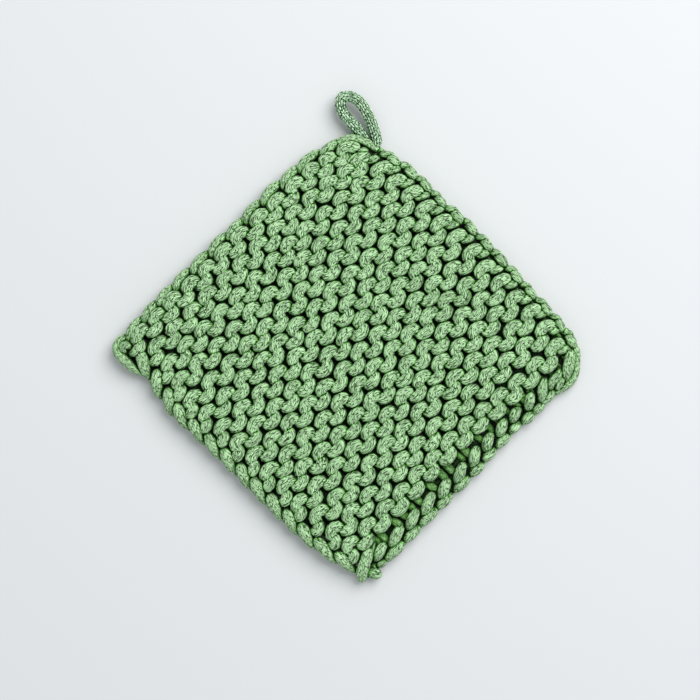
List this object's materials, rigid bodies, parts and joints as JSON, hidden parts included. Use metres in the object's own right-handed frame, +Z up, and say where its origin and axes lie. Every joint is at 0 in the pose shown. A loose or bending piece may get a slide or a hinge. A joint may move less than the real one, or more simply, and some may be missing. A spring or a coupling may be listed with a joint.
{
  "type": "pot holder",
  "caption": "Square chunky pot holder, garter-stitched in thick soft cotton cord, with a knitted-cord hanging loop at one corner. Lies flat.",
  "frame": {"origin": "under the middle of the square, on the flat underside that it rests on", "axes": "+Z up through the fabric's thickness, +X along the knitted ridges, +Y up the fabric towards the cast-on edge; the hanging loop is at the +X +Y corner"},
  "size_m": [0.2083, 0.2199, 0.013],
  "materials": {
    "knit_cotton": "matte soft cotton cord, sage green, many fine strands lying along the cord",
    "loop_cotton": "matte knitted cotton cord, sage green, fine V-shaped stitches round the cord"
  },
  "bodies": {
    "root": {"knitted_square": "knit_cotton", "hanging_loop": "loop_cotton"}
  },
  "joints": []
}
